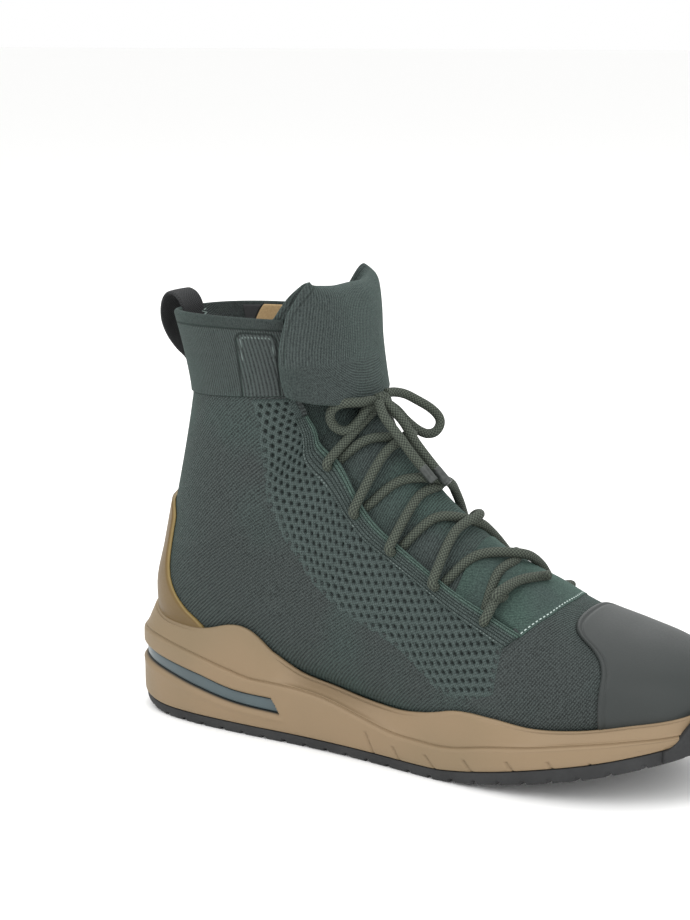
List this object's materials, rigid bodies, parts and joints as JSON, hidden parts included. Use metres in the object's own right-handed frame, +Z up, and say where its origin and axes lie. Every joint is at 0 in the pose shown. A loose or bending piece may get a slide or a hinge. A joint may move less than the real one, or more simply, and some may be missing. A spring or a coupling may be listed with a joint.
{
  "type": "high knit sneaker",
  "caption": "High-top knit sneaker for the right foot: sculpted foam sole, climbing rubber outsole, toe cap, heel counter, pull loop, folded-down tongue and tied laces.",
  "frame": {"origin": "on the floor, at the flat of the heel's tread", "axes": "+X from heel to toe, +Y to the inner side of the foot, +Z up from the floor"},
  "size_m": [0.307, 0.1024, 0.2233],
  "materials": {
    "outsole": "matt",
    "midsole": "satin moulded foam",
    "heel_window": "satin",
    "insole": "matt",
    "upper": "knit",
    "eyestay_lateral": "ribbed knit",
    "eyestay_medial": "ribbed knit",
    "toe_cap": "satin",
    "heel_counter": "half gloss",
    "tongue": "knit",
    "pull_loop": "woven webbing",
    "lace": "round braid"
  },
  "bodies": {
    "root": {"outsole": "outsole", "midsole": "midsole", "heel_window": "heel_window", "insole": "insole", "upper": "upper", "eyestay_lateral": "eyestay_lateral", "eyestay_medial": "eyestay_medial", "toe_cap": "toe_cap", "heel_counter": "heel_counter", "tongue": "tongue", "pull_loop": "pull_loop", "lace_crossings": "lace", "lace_knot": "lace", "lace_loop_near": "lace", "lace_loop_far": "lace", "lace_end_near": "lace", "lace_end_far": "lace"}
  },
  "joints": []
}
